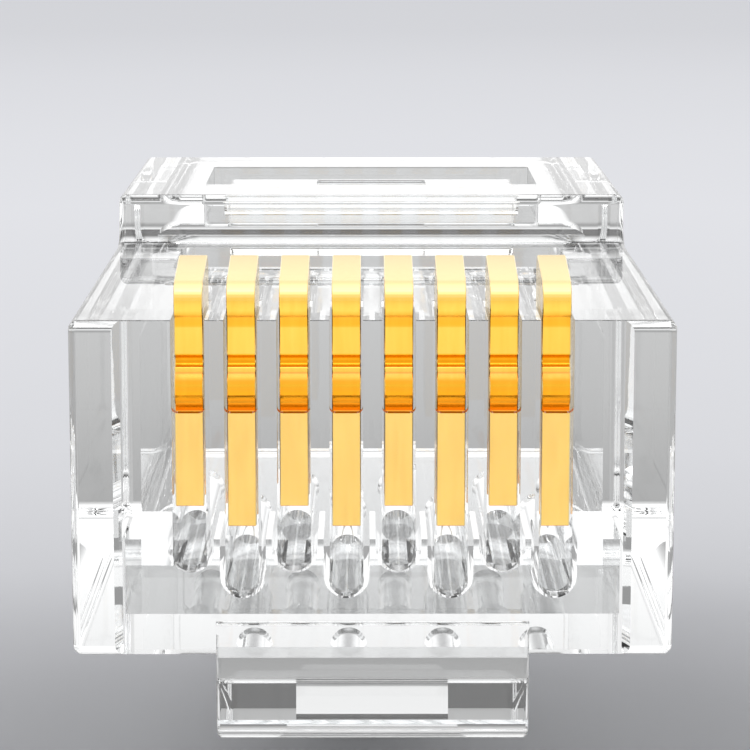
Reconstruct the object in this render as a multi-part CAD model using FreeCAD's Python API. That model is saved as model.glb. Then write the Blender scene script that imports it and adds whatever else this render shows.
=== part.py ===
"""An eight-way modular plug for data cable, as supplied, before its conductors are fitted.

The plug is a clear polycarbonate housing with eight gold-plated blade contacts pressed part way into a comb
of slots in its nose, a spring latch under the nose, and a bar in its roof that folds down on the cable's
jacket. Odd and even blades have two lengths, because the conductors' channels lie at two heights.

Frame, in millimetres: +X across the plug, +Y from the nose to the cable end, +Z up towards the contacts.
The origin is the centre of the nose's front plane.
"""

import FreeCAD, Part

import math
import os

Vector = FreeCAD.Vector

# Body
BODY_WIDTH = 11.68
BODY_LENGTH = 21.46
NOSE_HEIGHT = 6.60
NOSE_LENGTH = 12.32          # from the front plane back to the step up to the rear stretch
ROOF_RISE = 1.05             # the rear stretch stands this much higher than the nose
OUTER_ROUND = 0.22           # along the housing's edges that run across it
SIDE_ROUND = 0.17            # along the edges of its two sides
STEP_ROUND = 0.45            # in the inside corner where the nose meets the step
RAIL_WIDTH = 0.83            # of the two upright rails at the sides of the front face
PANEL_DEPTH = 0.15           # the front face between the rails lies this far behind them

# Walls
SIDE_WALL = 0.85             # beside the cable's cavity
FLOOR_WALL = 0.70
ROOF_WALL = 0.90

# Contacts
CONTACT_COUNT = 8
CONTACT_PITCH = 1.016
BLADE_THICKNESS = 0.56
BLADE_LENGTH = 2.20          # along the plug, behind the flat front edge
BLADE_FRONT = 0.58           # from the front plane to the blade's flat front edge
BLADE_STAND = 0.70           # the crown stands this far above the nose until the blade is pressed home
BLADE_SLOPE = 9.5            # degrees by which the blade's top rises behind the crown
BLADE_TRAVEL = 1.15          # a blade is pressed home by this much, to 6.15 over the underside
PRESSED_GAP = 0.04           # left under the prongs of a blade that is pressed home
SHORT_BLADE = 4.41           # height of the odd contacts' blades, over the upper row of conductors
LONG_BLADE = 4.81            # height of the even contacts' blades
LOBE_RADIUS = 0.42           # of the rounded crown and of the keying lobe below it
LOBE_REACH = 0.13            # the lobes stand this far in front of the blade's flat edge
LOBE_SPACING = 1.68          # from the crown's centre down to the keying lobe's
UNDERCUT_RADIUS = 0.115      # of the groove over the keying lobe
PRONG_COUNT = 3
PRONG_LENGTH = 1.20
PRONG_WIDTH = 0.52
PRONG_TIP = 0.10             # flat at the end of a prong
PRONG_BEVEL = 0.42           # height of the slope that sharpens a prong
BACK_ROUND = 0.35            # at the top of the blade's back edge
NOTCH_RADIUS = 0.18          # of the round notch that keys the blade at its back edge

# Comb of contact slots
SLOT_SIDE_GAP = 0.045        # from a blade's side to the slot's
SLOT_END_GAP = 0.08          # from a blade's ends to the slot's
MOUTH_DEPTH = 1.81           # the slots open to the front down to here, below the nose's top
MOUTH_ROUND = 0.12

# Channels for the conductors
CHANNEL_WIDTH = 0.66
CHANNEL_WALL = 0.12          # of the troughs that carry the channels through the bay
LOWER_ROW_RISE = 0.77        # from the cavity's floor up to the lower row's centres
ROW_SPACING = 0.51           # from the lower row's centres up to the upper row's
BAY_FRONT = 0.90             # from the front plane to the bay under the blades, where they bite the conductors
BAY_LENGTH = 4.10
BAY_SIDE = 1.00              # from the bay to the housing's side
BAY_HEIGHT = 1.50
CHAMBER_FRONT = 10.40        # from the front plane to the chamber that all the channels open into
CHAMBER_LENGTH = 0.60
CHAMBER_HEIGHT = 1.95
CHAMBER_SIDE = 0.30          # from the outer channels to the chamber's sides
CHAMBER_ROUND = 0.20
FUNNEL_DEPTH = 0.45          # of the lead-in at the back end of each channel
FUNNEL_SPREAD = 0.06

# Cavity for the cable
CAVITY_ROUND = 0.55

# Pockets in the top of the housing
RELIEF_SETBACK = 4.95        # from the front plane to the shallow groove behind the comb
RELIEF_LENGTH = 0.35
RELIEF_DEPTH = 0.10
TROUGH_SETBACK = 7.50        # from the front plane to the trough
TROUGH_LENGTH = 3.60
TROUGH_HALF_WIDTH = 4.30
TROUGH_DEPTH = 0.45
TROUGH_ROUND = 0.30
WINDOW_SETBACK = 2.38        # from the step to the window
WINDOW_LENGTH = 4.10
WINDOW_WIDTH = 7.90
WINDOW_ROUND = 0.12

# Bar that is folded down on the cable's jacket
ANCHOR_SIDE_GAP = 0.54       # from each end of the bar to the window's side
ANCHOR_LENGTH = 1.75
ANCHOR_HEIGHT = 1.85
ANCHOR_DROP = 0.10           # the bar's top lies this far below the roof
ANCHOR_WEB_LENGTH = 0.40     # of the web between the bar and its bending line
ANCHOR_WEB = 0.26
ANCHOR_BEAD = 0.20           # radius of the bead along the bending line
ANCHOR_HINGE_DROP = 0.42     # from the roof to the bending line
ANCHOR_PANEL_WIDTH = 2.60    # of the shallow recess in the middle of the bar's top
ANCHOR_PANEL_DEPTH = 0.12

# Latch
LATCH_WIDTH = 6.10
LATCH_THICKNESS = 0.75
LATCH_ANGLE = 14.0           # degrees down from the underside, at rest
ROOT_RISE = 0.67             # the latch's root reaches this far up the front face
ROOT_DROP = 1.75             # and this far below the housing
ROOT_TOP_ROUND = 0.06
ROOT_FRONT_ROUND = 0.45      # where its front face turns under
HINGE_SETBACK = 0.55         # from the front plane to the bending line
HINGE_DROP = 0.45            # from the underside to the bending line
HINGE_BEAD = 0.28            # radius of the bead along it
HINGE_GAP = 0.03             # radial clearance round a bead
HINGE_SPLIT = 0.05           # the fixed and the moving root end this far above and below the line
ARM_SETBACK = 1.28           # from the front plane to where the arm leaves the root
ARM_DROP = 1.10              # from the underside to the middle of the arm there
SHOULDER_SETBACK = 8.95      # from the front plane to the locking shoulders
SHOULDER_DEPTH = 1.33        # the latch's thickness at the shoulders
SHOULDER_LAND = 0.25         # the full thickness runs this far in front of the shoulders
ARM_RAMP = 4.40              # over which the arm thickens up to that
TAB_WIDTH = 3.25
TAB_THICKNESS = 0.90
TAB_LENGTH = 6.60            # behind the shoulders
GRIP_LENGTH = 1.60
GRIP_HEIGHT = 0.38

# Worked out from the sizes above
HALF_WIDTH = BODY_WIDTH / 2
TOP = NOSE_HEIGHT / 2
UNDERSIDE = -NOSE_HEIGHT / 2
ROOF = TOP + ROOF_RISE
FLOOR = UNDERSIDE + FLOOR_WALL
CAVITY_HALF_WIDTH = HALF_WIDTH - SIDE_WALL
CHAMBER_HALF_WIDTH = ((CONTACT_COUNT - 1) * CONTACT_PITCH + CHANNEL_WIDTH) / 2 + CHAMBER_SIDE
CABLE_STOP = CHAMBER_FRONT + CHAMBER_LENGTH
CAVITY_CEILING = ROOF - ROOF_WALL
BLADE_TOP = TOP + BLADE_STAND
BLADE_BACK = BLADE_FRONT + BLADE_LENGTH
LOBE_FRONT = BLADE_FRONT - LOBE_REACH
SLOT_FRONT = LOBE_FRONT - SLOT_END_GAP
SLOT_BACK = BLADE_BACK + SLOT_END_GAP
SLOT_WIDTH = BLADE_THICKNESS + 2 * SLOT_SIDE_GAP
WINDOW_START = NOSE_LENGTH + WINDOW_SETBACK
ANCHOR_WIDTH = WINDOW_WIDTH - 2 * ANCHOR_SIDE_GAP
HINGE_Y = HINGE_SETBACK
HINGE_Z = UNDERSIDE - HINGE_DROP
ARM_Z = UNDERSIDE - ARM_DROP
ANCHOR_HINGE_Y = WINDOW_START
ANCHOR_HINGE_Z = ROOF - ANCHOR_HINGE_DROP


def conductor_centre(number):
    """The height of a contact's conductor: odd ones lie in the upper row."""
    return FLOOR + LOWER_ROW_RISE + (ROW_SPACING if number % 2 == 1 else 0)


def blade_height(number):
    """Odd contacts have the shorter blades, because their conductors lie higher."""
    return SHORT_BLADE if number % 2 == 1 else LONG_BLADE


def contact_places():
    """Each contact's number and its X, from the plug's left side as seen from the front."""
    first = -(CONTACT_COUNT - 1) / 2
    return [(n + 1, (first + n) * CONTACT_PITCH) for n in range(CONTACT_COUNT)]


def block(x0, x1, y0, y1, z0, z1):
    """A box between two opposite corners."""
    return Part.makeBox(x1 - x0, y1 - y0, z1 - z0, Vector(x0, y0, z0))


def rod(radius, x0, x1, y, z):
    """A cylinder along X."""
    return Part.makeCylinder(radius, x1 - x0, Vector(x0, y, z), Vector(1, 0, 0))


def rounded_wire(corners):
    """A closed wire through (point, radius) corners, with each corner rounded to its radius."""
    starts, ends, arcs = [], [], []
    for i, (here, radius) in enumerate(corners):
        before = corners[i - 1][0]
        after = corners[(i + 1) % len(corners)][0]
        to_before = (before - here).normalize()
        to_after = (after - here).normalize()
        if radius <= 0:
            starts.append(here)
            ends.append(here)
            arcs.append(None)
            continue
        half_angle = to_before.getAngle(to_after) / 2
        reach = radius / math.tan(half_angle)
        to_centre = (to_before + to_after).normalize()
        middle = here + to_centre * (radius / math.sin(half_angle) - radius)
        starts.append(here + to_before * reach)
        ends.append(here + to_after * reach)
        arcs.append(Part.Arc(starts[-1], middle, ends[-1]).toShape())
    edges = []
    for i, arc in enumerate(arcs):
        if arc is not None:
            edges.append(arc)
        next_start = starts[(i + 1) % len(corners)]
        if ends[i].distanceToPoint(next_start) > 1e-6:
            edges.append(Part.LineSegment(ends[i], next_start).toShape())
    return Part.Wire(edges)


def side_prism(corners, x0, x1):
    """A profile of (y, z, radius) corners, seen from the side, drawn out from x0 to x1."""
    wire = rounded_wire([(Vector(x0, y, z), radius) for y, z, radius in corners])
    return Part.Face(wire).extrude(Vector(x1 - x0, 0, 0))


def front_prism(corners, y0, y1):
    """A profile of (x, z, radius) corners, seen from the front, drawn out from y0 to y1."""
    wire = rounded_wire([(Vector(x, y0, z), radius) for x, z, radius in corners])
    return Part.Face(wire).extrude(Vector(0, y1 - y0, 0))


def top_prism(corners, z0, z1):
    """A profile of (x, y, radius) corners, seen from above, drawn up from z0 to z1."""
    wire = rounded_wire([(Vector(x, y, z0), radius) for x, y, radius in corners])
    return Part.Face(wire).extrude(Vector(0, 0, z1 - z0))


def rectangle(a0, a1, b0, b1, radius=0.0):
    """The corners of a rectangle, for the prisms."""
    return [(a0, b0, radius), (a1, b0, radius), (a1, b1, radius), (a0, b1, radius)]


def at_x_faces(solid, half_width):
    """The edges round the solid's two flat sides at X of plus and minus half_width."""
    return [
        edge
        for edge in solid.Edges
        if all(abs(abs(v.X) - half_width) < 1e-6 for v in edge.Vertexes)
        and abs(abs(edge.CenterOfMass.x) - half_width) < 1e-6
    ]


# Housing

def outer_body():
    """The housing's outside, with its step up to the rear stretch and its front panel."""
    profile = [
        (0, UNDERSIDE, OUTER_ROUND),
        (BODY_LENGTH, UNDERSIDE, OUTER_ROUND),
        (BODY_LENGTH, ROOF, OUTER_ROUND),
        (NOSE_LENGTH, ROOF, OUTER_ROUND),
        (NOSE_LENGTH, TOP, STEP_ROUND),
        (0, TOP, OUTER_ROUND),
    ]
    body = side_prism(profile, -HALF_WIDTH, HALF_WIDTH)
    body = body.makeFillet(SIDE_ROUND, at_x_faces(body, HALF_WIDTH))
    panel_edge = HALF_WIDTH - RAIL_WIDTH
    panel = [
        (-panel_edge, 0, 0),
        (-panel_edge + PANEL_DEPTH, PANEL_DEPTH, 0),
        (panel_edge - PANEL_DEPTH, PANEL_DEPTH, 0),
        (panel_edge, 0, 0),
        (panel_edge, -1, 0),
        (-panel_edge, -1, 0),
    ]
    return body.cut(top_prism(panel, UNDERSIDE - 1, TOP + 1))


def fixed_root():
    """The part of the latch's root that stays with the housing, with a groove along the bending line."""
    half = LATCH_WIDTH / 2
    foot = HINGE_Z + HINGE_SPLIT
    back = HINGE_Y + HINGE_BEAD + HINGE_GAP + 0.07
    profile = [
        (0, UNDERSIDE + ROOT_RISE, ROOT_TOP_ROUND),
        (0, foot, 0),
        (back, foot, 0),
        (back + 0.3, UNDERSIDE + 0.1, 0),
        (PANEL_DEPTH * 2, UNDERSIDE + ROOT_RISE, 0),
    ]
    root = side_prism(profile, -half, half)
    return root.cut(rod(HINGE_BEAD + HINGE_GAP, -half - 1, half + 1, HINGE_Y, HINGE_Z))


def inner_space():
    """The conductors' chamber and the cable's cavity behind it, as one solid to cut out.

    The cavity's front stays low under the nose and opens to its full height behind the step.
    """
    half = CAVITY_HALF_WIDTH
    throat_back = NOSE_LENGTH + ROOF_WALL
    chamber_half = CHAMBER_HALF_WIDTH
    ceiling = FLOOR + CHAMBER_HEIGHT
    chamber = front_prism(
        rectangle(-chamber_half, chamber_half, FLOOR, ceiling, CHAMBER_ROUND),
        CHAMBER_FRONT,
        CABLE_STOP + 0.1,
    )
    throat = front_prism(
        rectangle(-half, half, FLOOR, TOP - ROOF_WALL, CAVITY_ROUND), CABLE_STOP, throat_back + 0.1
    )
    cable_space = front_prism(
        rectangle(-half, half, FLOOR, CAVITY_CEILING, CAVITY_ROUND), throat_back, BODY_LENGTH + 1
    )
    return chamber.fuse(throat).fuse(cable_space)


def bay():
    """The space under the comb, to be cut out round the troughs that carry the channels through it."""
    half = HALF_WIDTH - BAY_SIDE
    back = BAY_FRONT + BAY_LENGTH
    space = block(-half, half, BAY_FRONT, back, FLOOR, FLOOR + BAY_HEIGHT)
    radius = CHANNEL_WIDTH / 2 + CHANNEL_WALL
    for number, x in contact_places():
        centre = conductor_centre(number)
        trough = Part.makeCylinder(
            radius, BAY_LENGTH + 1, Vector(x, BAY_FRONT - 0.5, centre), Vector(0, 1, 0)
        )
        sides = block(x - radius, x + radius, BAY_FRONT - 0.5, back + 0.5, centre, TOP)
        space = space.cut(trough.fuse(sides))
    return space


def contact_slot(number, x):
    """One slot of the comb, down into its conductor's channel, with its mouth in the front face."""
    half = SLOT_WIDTH / 2
    foot = BLADE_TOP - blade_height(number) - BLADE_TRAVEL - PRESSED_GAP
    pocket = block(x - half, x + half, BLADE_FRONT - SLOT_END_GAP, SLOT_BACK, foot, TOP + 1)
    upper = block(x - half, x + half, SLOT_FRONT, BLADE_FRONT, conductor_centre(number), TOP + 1)
    corners = [
        (x - half, TOP + 1, 0),
        (x + half, TOP + 1, 0),
        (x + half, TOP - MOUTH_DEPTH, MOUTH_ROUND),
        (x - half, TOP - MOUTH_DEPTH, MOUTH_ROUND),
    ]
    mouth = front_prism(corners, -1, SLOT_FRONT + 0.05)
    return pocket.fuse(upper).fuse(mouth)


def channel(number, x):
    """One conductor's round channel, from its closed end in the front wall to its lead-in at the back."""
    radius = CHANNEL_WIDTH / 2
    centre = conductor_centre(number)
    bore = Part.makeCylinder(
        radius, CHAMBER_FRONT + 0.1 - SLOT_FRONT, Vector(x, SLOT_FRONT, centre), Vector(0, 1, 0)
    )
    lead_in = Part.makeCone(
        radius - FUNNEL_SPREAD,
        radius + 2 * FUNNEL_SPREAD,
        3 * FUNNEL_DEPTH,
        Vector(x, CHAMBER_FRONT - 2 * FUNNEL_DEPTH, centre),
        Vector(0, 1, 0),
    )
    return bore.fuse(lead_in)


def housing():
    half = ANCHOR_WIDTH / 2 + 0.05
    body = outer_body().fuse(fixed_root()).removeSplitter()
    body = body.cut(inner_space()).cut(bay())
    for number, x in contact_places():
        body = body.cut(contact_slot(number, x)).cut(channel(number, x))
    grooves = [
        top_prism(
            rectangle(-TROUGH_HALF_WIDTH, TROUGH_HALF_WIDTH, start, start + length, rounding),
            TOP - depth,
            TOP + 1,
        )
        for start, length, depth, rounding in (
            (RELIEF_SETBACK, RELIEF_LENGTH, RELIEF_DEPTH, RELIEF_DEPTH),
            (TROUGH_SETBACK, TROUGH_LENGTH, TROUGH_DEPTH, TROUGH_ROUND),
        )
    ]
    window = top_prism(
        rectangle(
            -WINDOW_WIDTH / 2,
            WINDOW_WIDTH / 2,
            WINDOW_START,
            WINDOW_START + WINDOW_LENGTH,
            WINDOW_ROUND,
        ),
        CAVITY_CEILING - 0.5,
        ROOF + 1,
    )
    seat = rod(ANCHOR_BEAD + HINGE_GAP, -half, half, ANCHOR_HINGE_Y, ANCHOR_HINGE_Z)
    return body.cut(grooves).cut(window).cut(seat).removeSplitter()


# Bar over the cable's jacket

def jacket_anchor():
    """The bar in the window, on a short web with a bead along its bending line."""
    half = ANCHOR_WIDTH / 2
    top = ROOF - ANCHOR_DROP
    bottom = top - ANCHOR_HEIGHT
    front = WINDOW_START + ANCHOR_WEB_LENGTH
    back = front + ANCHOR_LENGTH
    web_top = ANCHOR_HINGE_Z + ANCHOR_WEB / 2
    web_bottom = ANCHOR_HINGE_Z - ANCHOR_WEB / 2
    profile = [
        (ANCHOR_HINGE_Y, web_top, 0),
        (front, web_top, 0.05),
        (front, top, 0.10),
        (back, top, 0.12),
        (back, bottom + 0.5, 0.15),
        (back - 0.6, bottom, 0.3),
        (front, web_bottom, 0.1),
        (ANCHOR_HINGE_Y, web_bottom, 0),
    ]
    bar = side_prism(profile, -half, half)
    bead = rod(ANCHOR_BEAD, -half, half, ANCHOR_HINGE_Y, ANCHOR_HINGE_Z)
    edge = ANCHOR_PANEL_WIDTH / 2
    panel = block(-edge, edge, front + 0.25, back - 0.3, top - ANCHOR_PANEL_DEPTH, top + 1)
    return bar.fuse(bead).cut(panel).removeSplitter()


# Latch

def latch():
    """The root below the bending line, and the arm with its shoulders and thumb tab at their rest angle."""
    half = LATCH_WIDTH / 2
    slope = math.radians(LATCH_ANGLE)
    top = HINGE_Z - HINGE_SPLIT
    arm_top = ARM_Z + LATCH_THICKNESS / 2 / math.cos(slope)
    inside = ARM_SETBACK + LATCH_THICKNESS
    profile = [
        (0, top, 0),
        (0, UNDERSIDE - ROOT_DROP, ROOT_FRONT_ROUND),
        (ARM_SETBACK - 0.1, UNDERSIDE - ROOT_DROP, 0),
        (inside, ARM_Z - (inside - ARM_SETBACK) * math.tan(slope), 0),
        (ARM_SETBACK, arm_top, 0),
        (HINGE_Y + HINGE_BEAD * 0.8, top, 0),
    ]
    root = side_prism(profile, -half, half)
    bead = rod(HINGE_BEAD, -half, half, HINGE_Y, HINGE_Z)
    arm = level_arm()
    arm.rotate(Vector(0, 0, 0), Vector(1, 0, 0), -LATCH_ANGLE)
    arm.translate(Vector(0, ARM_SETBACK, ARM_Z))
    return arm.fuse(root).fuse(bead).removeSplitter()


def level_arm():
    """The arm drawn level, from the middle of its end at the root."""
    half = LATCH_WIDTH / 2
    over = LATCH_THICKNESS / 2
    under = over - SHOULDER_DEPTH
    shoulder = (SHOULDER_SETBACK - ARM_SETBACK) / math.cos(math.radians(LATCH_ANGLE))
    ramp_end = shoulder - SHOULDER_LAND
    tab_end = shoulder + TAB_LENGTH
    tab_under = over - TAB_THICKNESS
    arm = side_prism(
        [
            (0, over, 0),
            (shoulder + 1, over, 0),
            (shoulder + 1, under, 0),
            (ramp_end, under, 0.3),
            (ramp_end - ARM_RAMP, -over, 1.5),
            (0, -over, 0),
        ],
        -half,
        half,
    )
    behind = block(-half - 1, half + 1, 0, 10, -10, 10)
    behind.rotate(Vector(0, 0, 0), Vector(1, 0, 0), LATCH_ANGLE)
    behind.translate(Vector(0, shoulder, 0))
    tab = side_prism(
        [
            (shoulder - 1.0, over, 0),
            (tab_end, over, 0.35),
            (tab_end, tab_under - GRIP_HEIGHT, 0.3),
            (tab_end - GRIP_LENGTH, tab_under - GRIP_HEIGHT * 0.6, 0.4),
            (tab_end - GRIP_LENGTH - 0.6, tab_under, 0.4),
            (shoulder - 1.0, tab_under, 0),
        ],
        -TAB_WIDTH / 2,
        TAB_WIDTH / 2,
    )
    return arm.cut(behind).fuse(tab)


# Contacts

def contact(x, height):
    """One blade: a crown for the jack's spring, a keying lobe, round notches and three prongs."""
    x0, x1 = x - BLADE_THICKNESS / 2, x + BLADE_THICKNESS / 2
    bottom = BLADE_TOP - height
    front, back = BLADE_FRONT, BLADE_BACK
    rise = math.tan(math.radians(BLADE_SLOPE))
    lobe_y = LOBE_FRONT + LOBE_RADIUS
    crown_z = BLADE_TOP - LOBE_RADIUS
    over_crown = crown_z + LOBE_RADIUS * math.hypot(1, rise)
    blade = side_prism(
        [
            (LOBE_FRONT, over_crown - LOBE_RADIUS * rise, LOBE_RADIUS),
            (back, over_crown + (back - lobe_y) * rise, BACK_ROUND),
            (back, bottom, 0),
            (front, bottom, 0),
            (front, crown_z, 0),
            (LOBE_FRONT, crown_z, 0),
        ],
        x0,
        x1,
    )
    for z in (crown_z, crown_z - LOBE_SPACING):
        blade = blade.fuse(rod(LOBE_RADIUS, x0, x1, lobe_y, z))
    undercut_z = crown_z - LOBE_SPACING + LOBE_RADIUS + UNDERCUT_RADIUS
    blade = blade.cut(rod(UNDERCUT_RADIUS, x0 - 1, x1 + 1, front, undercut_z))
    notch_z = BLADE_TOP - height * 0.42
    blade = blade.cut(rod(NOTCH_RADIUS, x0 - 1, x1 + 1, back, notch_z))
    return blade.cut(between_prongs(x0 - 1, x1 + 1, bottom)).removeSplitter()


def between_prongs(x0, x1, bottom):
    """What is cut from a blade to leave its prongs: the outer two are sharpened on their inner side."""
    gap = (BLADE_LENGTH - PRONG_COUNT * PRONG_WIDTH) / (PRONG_COUNT - 1)
    cuts = []
    for n in range(PRONG_COUNT - 1):
        left = BLADE_FRONT + PRONG_WIDTH + n * (PRONG_WIDTH + gap)
        right = left + gap
        left_slope = PRONG_WIDTH - PRONG_TIP
        right_slope = left_slope
        if n > 0:
            left_slope = left_slope / 2
        if n < PRONG_COUNT - 2:
            right_slope = right_slope / 2
        corners = [
            (left - left_slope, bottom, 0),
            (left, bottom + PRONG_BEVEL, 0),
            (left, bottom + PRONG_LENGTH, gap * 0.49),
            (right, bottom + PRONG_LENGTH, gap * 0.49),
            (right, bottom + PRONG_BEVEL, 0),
            (right + right_slope, bottom, 0),
            (right + right_slope, bottom - 1, 0),
            (left - left_slope, bottom - 1, 0),
        ]
        cuts.append(side_prism(corners, x0, x1))
    return Part.makeCompound(cuts)


def main():
    os.makedirs("parts", exist_ok=True)
    nodes = {"housing": housing(), "latch": latch(), "jacket_anchor": jacket_anchor()}
    for number, x in contact_places():
        nodes[f"contact_{number}"] = contact(x, blade_height(number))
    for name, shape in nodes.items():
        shape.exportStep(f"parts/{name}.step")


main()
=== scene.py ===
"""A clear modular plug with gold blade contacts, on a pale floor."""

import math

import bmesh
import bpy
from bpy.props import FloatProperty, FloatVectorProperty, PointerProperty
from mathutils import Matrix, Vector


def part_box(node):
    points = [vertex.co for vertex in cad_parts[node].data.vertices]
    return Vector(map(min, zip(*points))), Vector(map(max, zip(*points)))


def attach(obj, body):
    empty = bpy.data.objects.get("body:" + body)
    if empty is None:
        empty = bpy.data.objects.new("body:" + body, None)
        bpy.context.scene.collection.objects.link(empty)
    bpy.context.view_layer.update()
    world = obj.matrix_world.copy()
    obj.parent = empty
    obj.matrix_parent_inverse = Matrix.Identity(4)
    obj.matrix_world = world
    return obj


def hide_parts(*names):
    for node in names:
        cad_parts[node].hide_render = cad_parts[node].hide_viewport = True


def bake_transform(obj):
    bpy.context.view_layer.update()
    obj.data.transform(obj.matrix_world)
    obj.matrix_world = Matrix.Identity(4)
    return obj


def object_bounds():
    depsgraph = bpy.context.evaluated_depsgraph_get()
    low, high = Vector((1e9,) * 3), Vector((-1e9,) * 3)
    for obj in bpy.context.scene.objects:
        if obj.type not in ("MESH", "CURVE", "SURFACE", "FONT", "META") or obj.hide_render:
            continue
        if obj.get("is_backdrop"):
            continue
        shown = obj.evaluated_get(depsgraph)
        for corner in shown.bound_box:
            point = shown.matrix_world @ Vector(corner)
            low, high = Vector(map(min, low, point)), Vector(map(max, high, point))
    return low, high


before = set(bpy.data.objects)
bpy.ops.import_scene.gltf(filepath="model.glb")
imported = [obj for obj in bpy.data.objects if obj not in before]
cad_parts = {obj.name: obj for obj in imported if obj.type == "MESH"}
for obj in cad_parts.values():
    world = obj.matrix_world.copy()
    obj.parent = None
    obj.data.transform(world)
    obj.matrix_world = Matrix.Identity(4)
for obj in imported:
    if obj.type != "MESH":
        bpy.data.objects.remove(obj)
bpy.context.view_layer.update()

bl_info = {
    "name": "Clear modular plug",
    "version": (1, 0, 0),
    "blender": (4, 5, 0),
    "location": "3D View > Sidebar > Plug",
    "description": "Builds a clear modular plug with gold contacts around its CAD frame, and a studio for it",
    "category": "Add Mesh",
}

MM = 0.001
CONTACTS = [f"contact_{n}" for n in range(1, 9)]

# Edges that turn by more than this are sharp
SHARP = math.radians(40)

# The conductors' channels: their ends along the plug, the heights of the even and the odd ones, their radius
CHANNEL_ENDS = (0.36 * MM, 9.90 * MM)
CHANNEL_HEIGHTS = (-1.83 * MM, -1.32 * MM)
CHANNEL_RADIUS = 0.334 * MM

# The latch's root, filled in where the latch leaves the housing, and the heights between which it bends
ROOT_TOP, ROOT_BOTTOM, ROOT_BACK = -3.15 * MM, -4.35 * MM, 1.05 * MM

# The rounds of the latch's outline: where they start on the root's front and on the arm, and their bounds
ROOT_LINE, ARM_LINE = -2.87 * MM, 1.75 * MM
NOSE_FRONT_DEPTH, ROOT_FRONT_DEPTH = 0.16 * MM, 0.47 * MM
ARM_CEILING, BEND_FLOOR = -3.8 * MM, -4.5 * MM

# Heights on the contacts that bound the painted highlight and the painted shade: from the crown's foot to its
# top, and from the groove down to the lobe
CROWN_FOOT, CROWN_TOP = 2.90 * MM, 3.20 * MM
GROOVE, LOBE_TOP = 2.45 * MM, 2.30 * MM

# Painted shade and painted reflections: how the contacts' fronts deepen in colour by height in millimetres,
# where the crown and the lobe shade and mirror each other: lobe's foot, lobe, groove and crown's foot
BLADE_PAINTED_SHADE = (
    (1.44, (1.0, 1.0, 1.0)), (1.48, (0.95, 0.30, 0.02)), (1.60, (0.98, 0.42, 0.03)),
    (1.68, (0.96, 0.55, 0.04)), (1.74, (0.95, 0.58, 0.06)), (1.79, (1.0, 0.66, 0.17)),
    (1.90, (0.99, 0.66, 0.25)), (1.98, (0.99, 0.80, 0.35)), (2.05, (1.0, 0.70, 0.32)),
    (2.12, (1.0, 0.60, 0.60)), (2.20, (1.0, 0.62, 0.80)), (2.24, (1.0, 1.0, 1.0)),
    (2.33, (1.0, 1.0, 1.0)), (2.345, (1.0, 1.0, 0.60)), (2.365, (1.0, 1.0, 0.60)),
    (2.38, (0.92, 0.57, 0.10)), (2.50, (0.88, 0.56, 0.10)), (2.53, (0.80, 0.75, 0.40)),
    (2.57, (0.80, 0.75, 0.40)), (2.59, (1.0, 1.0, 1.0)), (3.09, (1.0, 1.0, 1.0)),
    (3.12, (0.97, 0.80, 0.45)), (3.17, (0.97, 0.76, 0.34)), (3.33, (0.98, 0.74, 0.42)),
    (3.44, (1.0, 1.0, 1.0)),
)

# What gloss and clear plastic see, by degrees above level: behind the plug, at its sides and in front
BEHIND = (
    (-90, 1.2), (-65, 1.1), (-48, 0.85), (-39, 0.30), (-36, 0.11), (-22.2, 0.11), (-20.9, 0.85),
    (-19.4, 0.88), (-18, 0.66), (-15, 0.30), (-12.5, 0.34), (-10, 0.48), (-6, 0.63), (-2, 0.85),
    (2, 1.10), (6, 1.25), (12, 1.20), (17, 0.68), (22, 1.0), (30, 1.25), (48, 1.1), (70, 1.2), (90, 1.5),
)
BESIDE = (
    (-90, 0.90), (-60, 0.62), (-30, 0.60), (-10, 0.76), (5, 0.86), (20, 0.65), (50, 0.50), (75, 1.0), (90, 1.5),
)
BEFORE = (
    (-90, 1.2), (-40, 1.20), (-10, 1.12), (0, 1.0), (20, 1.0), (38, 1.10), (50, 1.60), (62, 1.90), (90, 1.5),
)
EVEN_LIGHT = (0.86, 0.865, 0.88)

# The floor: its grey from under the plug (0) to the end of the shading (1), darkest under the plug as a painted
# shadow; that end, its radius, its tint
FLOOR_SHADOW_RINGS = (
    (0.0, 0.30), (0.03, 0.36), (0.06, 0.44), (0.10, 0.60), (0.16, 0.68), (0.22, 0.72),
    (0.30, 0.76), (0.40, 0.80), (0.55, 0.81), (0.75, 0.80), (1.0, 0.76),
)
FLOOR_REACH = 0.310
FLOOR_RADIUS = 1.6
FLOOR_GAP = 0.02 * MM
FLOOR_TINT = (0.985, 0.99, 1.02)

# The lamps: name, place and power; both are squares of the same width and look at the same spot
LAMPS = (("key", (-0.10, -0.09, 0.17), 0.12), ("fill", (0.14, -0.06, 0.12), 0.05))
LAMP_WIDTH = 0.12
LAMP_AIM = (0, 0.008, 0)

# Sockets of a colour mix
MIX_MASK, MIX_FIRST, MIX_SECOND, MIX_RESULT = 0, 6, 7, 2


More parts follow.
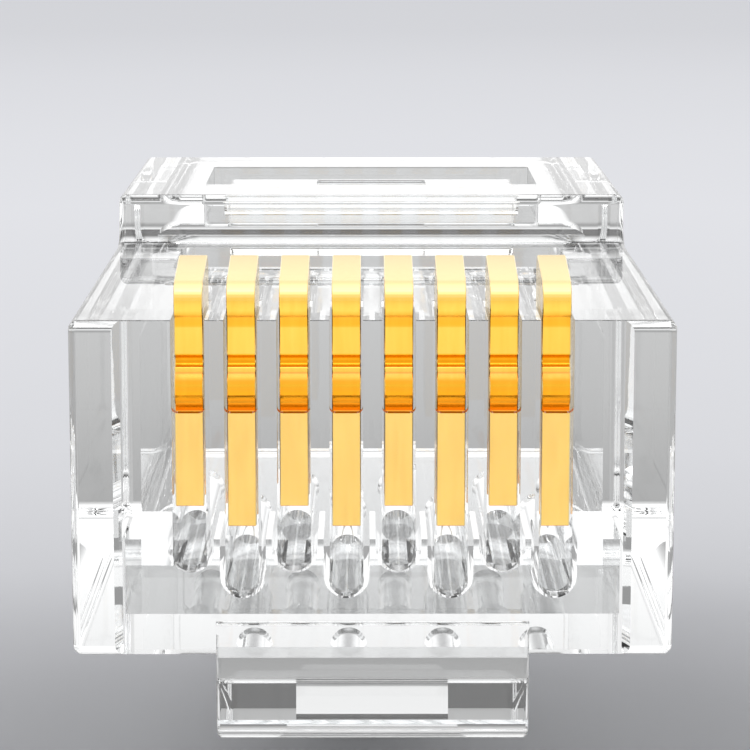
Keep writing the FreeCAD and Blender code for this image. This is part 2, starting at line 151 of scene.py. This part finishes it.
class PlugFinish(bpy.types.PropertyGroup):
    """Colours and finish of the plug's own pieces."""

    clear_tint: FloatVectorProperty(
        name="Clear tint",
        description="Colour that light takes on in the clear plastic",
        subtype="COLOR",
        size=3,
        min=0,
        max=1,
        default=(0.985, 0.992, 0.995),
    )
    gold: FloatVectorProperty(
        name="Gold",
        description="Colour of the contacts' plating, seen straight on",
        subtype="COLOR",
        size=3,
        min=0,
        max=1,
        default=(1.0, 0.65, 0.11),
    )
    streak_gold: FloatVectorProperty(
        name="Streak gold",
        description="Colour of the plating's darker streaks",
        subtype="COLOR",
        size=3,
        min=0,
        max=1,
        default=(0.99, 0.60, 0.085),
    )
    # Painted highlight: a paler gold stands for the bright reflections on the crowns' tops and on the blades'
    # sides
    painted_highlight_gold: FloatVectorProperty(
        name="Pale gold",
        description="Colour of the plating on the tops of the crowns and on the blades' sides",
        subtype="COLOR",
        size=3,
        min=0,
        max=1,
        default=(1.0, 0.78, 0.38),
    )
    # Painted shade: a deeper gold stands for the shade and the darker reflections on the lobe's underside
    painted_shade_gold: FloatVectorProperty(
        name="Deep gold",
        description="Colour of the plating on the underside of the lobe",
        subtype="COLOR",
        size=3,
        min=0,
        max=1,
        default=(0.95, 0.37, 0.02),
    )


class PlugSizes(bpy.types.PropertyGroup):
    """Sizes of the finishing work on the plug's pieces."""

    moulded_edge: FloatProperty(
        name="Moulded edge",
        description="Width of the small chamfer along the jacket anchor's edges",
        default=0.022 * MM,
        min=0,
        unit="LENGTH",
    )
    latch_edge: FloatProperty(
        name="Latch edge",
        description="Width of the round along the outline of the latch and its root",
        default=0.10 * MM,
        min=0,
        unit="LENGTH",
    )
    blade_edge: FloatProperty(
        name="Blade edge",
        description="Width of the small chamfer along the contacts' edges",
        default=0.018 * MM,
        min=0,
        unit="LENGTH",
    )


class PlugStage(bpy.types.PropertyGroup):
    """The camera, the floor and the light."""

    eye_distance: FloatProperty(
        name="Eye distance",
        description="From the nose's front plane forward to the camera",
        default=56.74 * MM,
        unit="LENGTH",
    )
    eye_height: FloatProperty(
        name="Eye height",
        description="From the middle of the nose up to the camera",
        default=12.04 * MM,
        unit="LENGTH",
    )
    eye_side: FloatProperty(
        name="Eye side",
        description="From the plug's middle across to the camera",
        default=-0.125 * MM,
        unit="LENGTH",
    )
    turn: FloatProperty(
        name="Turn",
        description="How far the camera looks to its left",
        default=-0.003,
        subtype="ANGLE",
    )
    pitch: FloatProperty(
        name="Pitch",
        description="How far down the camera looks",
        default=math.radians(9.775),
        subtype="ANGLE",
    )
    lens: FloatProperty(
        name="Lens",
        description="Focal length of the camera in millimetres",
        default=144.2,
    )


def deselect_all():
    """Leaves nothing selected and nothing being edited."""
    if bpy.context.object and bpy.context.object.mode != "OBJECT":
        bpy.ops.object.mode_set(mode="OBJECT")
    bpy.ops.object.select_all(action="DESELECT")


def activate(piece):
    """Makes the piece the only one selected."""
    deselect_all()
    piece.select_set(True)
    bpy.context.view_layer.objects.active = piece


def cad_copy(node, name):
    """A copy of a CAD node's mesh as a new piece, with its loose triangles merged."""
    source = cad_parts[node]
    piece = bpy.data.objects.new(name, source.data.copy())
    bpy.context.scene.collection.objects.link(piece)
    piece.data.materials.clear()
    activate(piece)
    bpy.ops.object.mode_set(mode="EDIT")
    bpy.ops.mesh.select_all(action="SELECT")
    bpy.ops.mesh.remove_doubles(threshold=0.0005 * MM)
    bpy.ops.mesh.customdata_custom_splitnormals_clear()
    bpy.ops.object.mode_set(mode="OBJECT")
    return piece


def apply_modifier(piece, kind, name, **settings):
    """Adds a modifier, sets it and applies it."""
    activate(piece)
    modifier = piece.modifiers.new(name, kind)
    for key, value in settings.items():
        setattr(modifier, key, value)
    bpy.ops.object.modifier_apply(modifier=modifier.name)


def dissolve_flats(piece, angle=0.4):
    """Joins the triangles of each flat face."""
    activate(piece)
    bpy.ops.object.mode_set(mode="EDIT")
    bpy.ops.mesh.select_all(action="SELECT")
    bpy.ops.mesh.dissolve_limited(angle_limit=math.radians(angle))
    bpy.ops.object.mode_set(mode="OBJECT")


def smooth_rounds(piece, angle):
    """Shades the rounds smooth and the flats flat, and leaves no face with more than four corners."""
    activate(piece)
    bpy.ops.object.shade_smooth_by_angle(angle=math.radians(angle))
    apply_modifier(piece, "WEIGHTED_NORMAL", "normals", keep_sharp=True, weight=80)
    apply_modifier(piece, "TRIANGULATE", "triangles", min_vertices=5, keep_custom_normals=True)


def place(nodes, kind, **settings):
    """A node with its sockets, or its own settings, set by name."""
    node = nodes.new(kind)
    for key, value in settings.items():
        name = key.replace("_", " ").title()
        if name in node.inputs:
            node.inputs[name].default_value = value
        else:
            setattr(node, key, value)
    return node


def drawn_grain():
    """Fine streaks along one way of a surface, with a slow unevenness under them."""
    group = bpy.data.node_groups.new("drawn_grain", "ShaderNodeTree")
    for name, default in (("Scale", 1000.0), ("Across", 1.0), ("Along", 0.1), ("Unevenness", 0.4)):
        socket = group.interface.new_socket(name, in_out="INPUT", socket_type="NodeSocketFloat")
        socket.default_value = default
    for name in ("Mask", "Height"):
        group.interface.new_socket(name, in_out="OUTPUT", socket_type="NodeSocketFloat")
    nodes, links = group.nodes, group.links
    entry, leave = nodes.new("NodeGroupInput"), nodes.new("NodeGroupOutput")
    where = nodes.new("ShaderNodeTexCoord")
    stretch = nodes.new("ShaderNodeCombineXYZ")
    for axis, name in zip("XYZ", ("Across", "Across", "Along")):
        links.new(entry.outputs[name], stretch.inputs[axis])
    scaled = place(nodes, "ShaderNodeVectorMath", operation="MULTIPLY")
    links.new(where.outputs["Object"], scaled.inputs[0])
    links.new(stretch.outputs[0], scaled.inputs[1])
    fine = place(nodes, "ShaderNodeTexNoise", detail=4.0, roughness=0.55)
    links.new(scaled.outputs[0], fine.inputs["Vector"])
    links.new(entry.outputs["Scale"], fine.inputs["Scale"])
    slow = place(nodes, "ShaderNodeTexNoise", detail=2.0)
    links.new(where.outputs["Object"], slow.inputs["Vector"])
    links.new(reckon(nodes, links, "MULTIPLY", entry.outputs["Scale"], 0.12), slow.inputs["Scale"])
    both = nodes.new("ShaderNodeMix")
    links.new(entry.outputs["Unevenness"], both.inputs["Factor"])
    links.new(fine.outputs["Fac"], both.inputs["A"])
    links.new(slow.outputs["Fac"], both.inputs["B"])
    spread = place(nodes, "ShaderNodeMapRange", from_min=0.35, from_max=0.65)
    links.new(both.outputs["Result"], spread.inputs["Value"])
    links.new(spread.outputs["Result"], leave.inputs["Mask"])
    links.new(both.outputs["Result"], leave.inputs["Height"])
    return group


def new_material(name):
    """An empty material, its nodes, its links and its output."""
    material = bpy.data.materials.new(name)
    material.use_nodes = True
    nodes = material.node_tree.nodes
    nodes.clear()
    return material, nodes, material.node_tree.links, nodes.new("ShaderNodeOutputMaterial")


def grain_in(nodes, scale, across, along, unevenness):
    """The drawn grain with one material's own values."""
    grain = nodes.new("ShaderNodeGroup")
    grain.node_tree = bpy.data.node_groups["drawn_grain"]
    for name, value in (("Scale", scale), ("Across", across), ("Along", along), ("Unevenness", unevenness)):
        grain.inputs[name].default_value = value
    return grain


def between(nodes, links, source, low, high, interpolation="SMOOTHSTEP"):
    """A mask that rises from 0 to 1 as the source goes from low to high."""
    node = place(nodes, "ShaderNodeMapRange", interpolation_type=interpolation)
    links.new(source, node.inputs["Value"])
    node.inputs["From Min"].default_value = low
    node.inputs["From Max"].default_value = high
    return node.outputs["Result"]


def colour_ramp(nodes, links, source, stops):
    """Colours along a value from 0 to 1, between (place, colour) stops; a grey may be one number."""
    ramp = nodes.new("ShaderNodeValToRGB")
    links.new(source, ramp.inputs["Fac"])
    elements = ramp.color_ramp.elements
    while len(elements) < len(stops):
        elements.new(0.5)
    for element, (position, colour) in zip(elements, stops):
        element.position = position
        element.color = (*(colour if isinstance(colour, tuple) else (colour,) * 3), 1)
    return ramp.outputs["Color"]


def feed(links, socket, source):
    """Links the source to the socket, or sets the socket where the source is a number or a colour."""
    if isinstance(source, bpy.types.NodeSocket):
        links.new(source, socket)
    elif isinstance(source, (int, float)):
        socket.default_value = source
    else:
        socket.default_value = (*source, 1)


def reckon(nodes, links, operation, first, second=None):
    """The result of one sum on sockets or numbers."""
    node = place(nodes, "ShaderNodeMath", operation=operation)
    feed(links, node.inputs[0], first)
    if second is not None:
        feed(links, node.inputs[1], second)
    return node.outputs[0]


def mixed(nodes, links, mask, first, second, blend_type="MIX"):
    """A colour that goes from the first to the second with the mask."""
    mix = place(nodes, "ShaderNodeMix", data_type="RGBA", blend_type=blend_type)
    feed(links, mix.inputs[MIX_MASK], mask)
    feed(links, mix.inputs[MIX_FIRST], first)
    feed(links, mix.inputs[MIX_SECOND], second)
    return mix.outputs[MIX_RESULT]


def parts_of(nodes, links, vector):
    """The X, Y and Z of a vector."""
    split = nodes.new("ShaderNodeSeparateXYZ")
    links.new(vector, split.inputs[0])
    return split.outputs


def clear_plastic(finish):
    """Clear polycarbonate with a faint unevenness from its flow in the mould."""
    material, nodes, links, output = new_material("clear_polycarbonate")
    shader = nodes.new("ShaderNodeBsdfPrincipled")
    flow = grain_in(nodes, scale=900.0, across=1.0, along=0.6, unevenness=0.7)
    tint = finish.clear_tint
    denser = [channel * 0.985 for channel in tint]
    links.new(mixed(nodes, links, flow.outputs["Mask"], tint, denser), shader.inputs["Base Color"])

    polish = place(nodes, "ShaderNodeMapRange", to_min=0.0, to_max=0.02)
    links.new(flow.outputs["Mask"], polish.inputs["Value"])
    links.new(polish.outputs["Result"], shader.inputs["Roughness"])
    ripple = place(nodes, "ShaderNodeBump", strength=0.25, distance=0.004 * MM)
    links.new(flow.outputs["Height"], ripple.inputs["Height"])
    links.new(ripple.outputs["Normal"], shader.inputs["Normal"])
    shader.inputs["IOR"].default_value = 1.586
    shader.inputs["Transmission Weight"].default_value = 1.0
    links.new(shader.outputs["BSDF"], output.inputs["Surface"])
    return material


def gold_plate(finish):
    """Bright gold plating over rolled metal, with the streaks of the rolling under it, and with painted shade,
    painted reflections and painted highlights on the contacts.
    """
    material, nodes, links, output = new_material("gold_plate")
    shader = nodes.new("ShaderNodeBsdfPrincipled")
    rolled = grain_in(nodes, scale=9000.0, across=1.0, along=0.08, unevenness=0.35)
    facing = parts_of(nodes, links, nodes.new("ShaderNodeNewGeometry").outputs["True Normal"])
    height = parts_of(nodes, links, nodes.new("ShaderNodeTexCoord").outputs["Object"])["Z"]

    # Painted shade and painted reflections: on the faces that look forward, the blade's gold is multiplied by a
    # colour that changes with height
    low, high = BLADE_PAINTED_SHADE[0][0] * MM, BLADE_PAINTED_SHADE[-1][0] * MM
    rise = between(nodes, links, height, low, high, "LINEAR")
    stops = [((z * MM - low) / (high - low), colour) for z, colour in BLADE_PAINTED_SHADE]
    shade = colour_ramp(nodes, links, rise, stops)
    front = between(nodes, links, facing["Y"], -0.02, -0.25)

    # Painted highlight: the crowns' upward faces and the blades' sides turn to the paler gold
    upward = between(nodes, links, facing["Z"], 0.08, 0.75)
    on_crown = between(nodes, links, height, CROWN_FOOT, CROWN_TOP)
    top = reckon(nodes, links, "MULTIPLY", upward, on_crown)
    side = between(nodes, links, reckon(nodes, links, "ABSOLUTE", facing["X"]), 0.35, 0.70)
    # Painted shade: the faces under the groove that look down turn to the deeper gold
    downward = between(nodes, links, facing["Z"], -0.05, -0.70)
    under_groove = between(nodes, links, height, GROOVE, LOBE_TOP)
    under = reckon(nodes, links, "MULTIPLY", downward, under_groove)

    colour = mixed(nodes, links, rolled.outputs["Mask"], finish.gold, finish.streak_gold)
    colour = mixed(nodes, links, front, colour, shade, "MULTIPLY")
    colour = mixed(nodes, links, reckon(nodes, links, "MAXIMUM", top, side), colour, finish.painted_highlight_gold)
    colour = mixed(nodes, links, under, colour, finish.painted_shade_gold)
    links.new(colour, shader.inputs["Base Color"])

    polish = place(nodes, "ShaderNodeMapRange", to_min=0.14, to_max=0.23)
    links.new(rolled.outputs["Mask"], polish.inputs["Value"])
    links.new(polish.outputs["Result"], shader.inputs["Roughness"])
    streaks = place(nodes, "ShaderNodeBump", strength=0.3, distance=0.002 * MM)
    links.new(rolled.outputs["Height"], streaks.inputs["Height"])
    links.new(streaks.outputs["Normal"], shader.inputs["Normal"])
    shader.inputs["Metallic"].default_value = 1.0
    links.new(shader.outputs["BSDF"], output.inputs["Surface"])
    return material


def channel_bores():
    """One round bar in each conductor's channel, a hair wider than the channel and much rounder."""
    deselect_all()
    front, back = CHANNEL_ENDS
    bars = []
    for number, name in enumerate(CONTACTS, start=1):
        low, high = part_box(name)
        bpy.ops.mesh.primitive_cylinder_add(
            vertices=72,
            radius=CHANNEL_RADIUS,
            depth=back - front,
            location=((low.x + high.x) / 2, (front + back) / 2, CHANNEL_HEIGHTS[number % 2]),
            rotation=(math.radians(90), 0, 0),
        )
        bars.append(bpy.context.object)
    deselect_all()
    for bar in bars:
        bar.select_set(True)
    bpy.context.view_layer.objects.active = bars[0]
    bpy.ops.object.join()
    bpy.ops.object.transform_apply(location=True, rotation=True, scale=True)
    bars[0].name = "channel_bores"
    return bars[0]


def root_filler():
    """A block that closes the fine gap between the housing and the root of the latch."""
    low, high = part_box("latch")
    deselect_all()
    bpy.ops.mesh.primitive_cube_add(size=1, location=(0, ROOT_BACK / 2, (ROOT_TOP + ROOT_BOTTOM) / 2))
    root = bpy.context.object
    root.name = "root_filler"
    root.scale = (high.x - low.x, ROOT_BACK, ROOT_TOP - ROOT_BOTTOM)
    bpy.ops.object.transform_apply(location=True, rotation=True, scale=True)
    return root


def merge_close(piece):
    """Merges what the joining left closer than a micrometre, and joins the triangles of flat faces."""
    activate(piece)
    bpy.ops.object.mode_set(mode="EDIT")
    bpy.ops.mesh.select_all(action="SELECT")
    bpy.ops.mesh.remove_doubles(threshold=0.001 * MM)
    bpy.ops.mesh.dissolve_degenerate(threshold=0.0005 * MM)
    bpy.ops.object.mode_set(mode="OBJECT")
    dissolve_flats(piece)


def cut_across(body, through, normal, chosen):
    """Adds a line of edges where a plane crosses the chosen faces."""
    activate(body)
    bpy.ops.object.mode_set(mode="EDIT")
    bpy.ops.mesh.select_mode(type="FACE")
    bpy.ops.mesh.select_all(action="DESELECT")
    shell = bmesh.from_edit_mesh(body.data)
    for face in shell.faces:
        face.select_set(all(chosen(corner.co) for corner in face.verts))
    bmesh.update_edit_mesh(body.data)
    bpy.ops.mesh.bisect(plane_co=through, plane_no=normal)
    bpy.ops.object.mode_set(mode="OBJECT")


def round_latch_edges(body, half, width):
    """Rounds the outline of the latch and of its root, but not at the bending line between them."""
    reach = half + width
    cut_across(body, (0, 0, ROOT_LINE), (0, 0, 1), lambda at: at.y < NOSE_FRONT_DEPTH and abs(at.x) < reach)
    cut_across(body, (0, ARM_LINE, 0), (0, 1, 0), lambda at: at.z < ARM_CEILING)
    activate(body)
    bpy.ops.object.mode_set(mode="EDIT")
    bpy.ops.mesh.select_mode(type="EDGE")
    bpy.ops.mesh.select_all(action="DESELECT")
    shell = bmesh.from_edit_mesh(body.data)
    slack = 0.005 * MM

    def on_outline(at):
        front = at.y < ROOT_FRONT_DEPTH and at.z < ROOT_LINE + slack
        arm = at.y > ARM_LINE - slack and at.z < ARM_CEILING
        return abs(abs(at.x) - half) < slack and (front or arm or at.z < BEND_FLOOR)

    for edge in shell.edges:
        if all(on_outline(end.co) for end in edge.verts) and edge.is_manifold and edge.is_convex:
            edge.select_set(edge.calc_face_angle() > SHARP)
    shell.select_flush_mode()
    bmesh.update_edit_mesh(body.data)
    bpy.ops.mesh.bevel(offset=width, segments=4, profile=0.5, clamp_overlap=False)
    bpy.ops.object.mode_set(mode="OBJECT")


class PLUG_OT_moulding(bpy.types.Operator):
    """Make the housing and its latch as the one clear moulding they are"""

    bl_idname = "plug.moulding"
    bl_label = "Moulding"

    def execute(self, context):
        body = cad_copy("housing", "moulding")
        latch = cad_copy("latch", "latch_copy")
        bores = channel_bores()
        root = root_filler()
        for operation, other in (("DIFFERENCE", bores), ("UNION", latch), ("UNION", root)):
            apply_modifier(body, "BOOLEAN", other.name, operation=operation, solver="EXACT", object=other)
            bpy.data.objects.remove(other)
        merge_close(body)
        round_latch_edges(body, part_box("latch")[1].x, context.scene.plug_sizes.latch_edge)
        body.data.materials.append(bpy.data.materials["clear_polycarbonate"])
        smooth_rounds(body, 25)
        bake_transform(body)
        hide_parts("housing", "latch")
        return {"FINISHED"}


def rounded_copy(node, width, material):
    """A copy of a CAD node with its sharp edges chamfered, standing for that node."""
    piece = cad_copy(node, f"{node}_finished")
    dissolve_flats(piece)
    apply_modifier(
        piece,
        "BEVEL",
        "edges",
        width=width,
        segments=1,
        limit_method="ANGLE",
        angle_limit=SHARP,
        use_clamp_overlap=True,
    )
    piece.data.materials.append(bpy.data.materials[material])
    smooth_rounds(piece, 30)
    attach(piece, node)
    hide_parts(node)
    return piece


class PLUG_OT_jacket_anchor(bpy.types.Operator):
    """Make the bar in the roof that grips the cable's jacket"""

    bl_idname = "plug.jacket_anchor"
    bl_label = "Jacket anchor"

    def execute(self, context):
        width = context.scene.plug_sizes.moulded_edge
        rounded_copy("jacket_anchor", width, "clear_polycarbonate")
        return {"FINISHED"}


class PLUG_OT_contacts(bpy.types.Operator):
    """Make the eight gold-plated blade contacts"""

    bl_idname = "plug.contacts"
    bl_label = "Contacts"

    def execute(self, context):
        width = context.scene.plug_sizes.blade_edge
        for name in CONTACTS:
            rounded_copy(name, width, "gold_plate")
        return {"FINISHED"}


def studio_world(world):
    """Even light for dull surfaces, and a pale room round a darker floor for gloss and clear plastic."""
    world.use_nodes = True
    nodes, links = world.node_tree.nodes, world.node_tree.links
    nodes.clear()
    output = nodes.new("ShaderNodeOutputWorld")
    way = parts_of(nodes, links, nodes.new("ShaderNodeTexCoord").outputs["Generated"])

    def sums(*parts):
        return reckon(nodes, links, *parts)

    level = sums("SQRT", sums("MAXIMUM", sums("SUBTRACT", 1.0, sums("MULTIPLY", way["Z"], way["Z"])), 0.0001))
    back = sums("DIVIDE", way["Y"], level)
    height = between(nodes, links, way["Z"], -1.0, 1.0, "LINEAR")
    behind, beside, before = (
        colour_ramp(nodes, links, height, [((math.sin(math.radians(e)) + 1) / 2, grey) for e, grey in stops])
        for stops in (BEHIND, BESIDE, BEFORE)
    )
    around = mixed(nodes, links, between(nodes, links, back, -0.62, -0.96), beside, before)
    around = mixed(nodes, links, between(nodes, links, back, 0.0, 0.75), around, behind)
    seen = nodes.new("ShaderNodeBackground")
    links.new(around, seen.inputs["Color"])
    plain = nodes.new("ShaderNodeBackground")
    plain.inputs["Color"].default_value = (*EVEN_LIGHT, 1)
    path = nodes.new("ShaderNodeLightPath")
    choose = nodes.new("ShaderNodeMixShader")
    clear = sums("MAXIMUM", path.outputs["Is Glossy Ray"], path.outputs["Is Transmission Ray"])
    links.new(clear, choose.inputs["Fac"])
    links.new(plain.outputs[0], choose.inputs[1])
    links.new(seen.outputs[0], choose.inputs[2])
    links.new(choose.outputs[0], output.inputs["Surface"])


def floor_material():
    """A dull pale floor with a painted shadow, darker close to the plug."""
    material, nodes, links, output = new_material("studio_floor")
    shader = nodes.new("ShaderNodeBsdfPrincipled")
    coordinate = nodes.new("ShaderNodeTexCoord")
    length = place(nodes, "ShaderNodeVectorMath", operation="LENGTH")
    links.new(coordinate.outputs["Object"], length.inputs[0])
    distance = nodes.new("ShaderNodeMapRange")
    links.new(length.outputs["Value"], distance.inputs["Value"])
    distance.inputs["From Max"].default_value = FLOOR_REACH
    # Painted shadow: the floor's grey darkens towards the plug
    grey = colour_ramp(nodes, links, distance.outputs["Result"], FLOOR_SHADOW_RINGS)
    links.new(mixed(nodes, links, 1.0, grey, FLOOR_TINT, "MULTIPLY"), shader.inputs["Base Color"])
    shader.inputs["Roughness"].default_value = 0.9
    shader.inputs["Specular IOR Level"].default_value = 0.0
    links.new(shader.outputs["BSDF"], output.inputs["Surface"])
    return material


class PLUG_OT_stage(bpy.types.Operator):
    """Set the plug on a pale floor, with soft light and a camera in front of its nose"""

    bl_idname = "plug.stage"
    bl_label = "Stage"

    def execute(self, context):
        settings = context.scene.plug_stage
        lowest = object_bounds()[0].z
        deselect_all()
        bpy.ops.mesh.primitive_circle_add(
            vertices=96, radius=FLOOR_RADIUS, fill_type="NGON", location=(0, 0, lowest - FLOOR_GAP)
        )
        floor = context.object
        floor.name = "studio_floor"
        floor.data.materials.append(floor_material())
        floor.visible_glossy = False
        floor.visible_transmission = False
        floor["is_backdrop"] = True
        context.scene.world = bpy.data.worlds.new("studio")
        studio_world(context.scene.world)
        for name, spot, power in LAMPS:
            lamp = bpy.data.lights.new(name, "AREA")
            lamp.size = LAMP_WIDTH
            lamp.energy = power
            holder = bpy.data.objects.new(name, lamp)
            context.scene.collection.objects.link(holder)
            holder.location = spot
            aim = Vector(LAMP_AIM) - Vector(spot)
            holder.rotation_euler = aim.to_track_quat("-Z", "Y").to_euler()
        camera = bpy.data.cameras.new("camera")
        holder = bpy.data.objects.new("camera", camera)
        context.scene.collection.objects.link(holder)
        holder.location = (settings.eye_side, -settings.eye_distance, settings.eye_height)
        holder.rotation_euler = (math.radians(90) - settings.pitch, 0, settings.turn)
        camera.lens = settings.lens
        camera.sensor_width = 36
        camera.clip_start = 1 * MM
        camera.clip_end = 10
        context.scene.camera = holder
        context.scene.view_settings.view_transform = "Standard"
        context.scene.cycles.max_bounces = 24
        context.scene.cycles.transmission_bounces = 24
        context.scene.cycles.glossy_bounces = 8
        context.scene.cycles.transparent_max_bounces = 12
        return {"FINISHED"}


class PLUG_PT_panel(bpy.types.Panel):
    """The plug's pieces, in the sidebar"""

    bl_label = "Modular plug"
    bl_space_type = "VIEW_3D"
    bl_region_type = "UI"
    bl_category = "Plug"

    def draw(self, context):
        column = self.layout.column(align=True)
        for operator in STEPS:
            column.operator(operator.bl_idname)


STEPS = (PLUG_OT_moulding, PLUG_OT_jacket_anchor, PLUG_OT_contacts, PLUG_OT_stage)
CLASSES = (PlugFinish, PlugSizes, PlugStage, *STEPS, PLUG_PT_panel)


def register():
    for item in CLASSES:
        bpy.utils.register_class(item)
    bpy.types.Scene.plug_finish = PointerProperty(type=PlugFinish)
    bpy.types.Scene.plug_sizes = PointerProperty(type=PlugSizes)
    bpy.types.Scene.plug_stage = PointerProperty(type=PlugStage)


def unregister():
    del bpy.types.Scene.plug_stage
    del bpy.types.Scene.plug_sizes
    del bpy.types.Scene.plug_finish
    for item in reversed(CLASSES):
        bpy.utils.unregister_class(item)


def main():
    register()
    finish = bpy.context.scene.plug_finish
    drawn_grain()
    clear_plastic(finish)
    gold_plate(finish)
    bpy.ops.plug.moulding()
    bpy.ops.plug.jacket_anchor()
    bpy.ops.plug.contacts()
    bpy.ops.plug.stage()


if __name__ == "__main__":
    main()
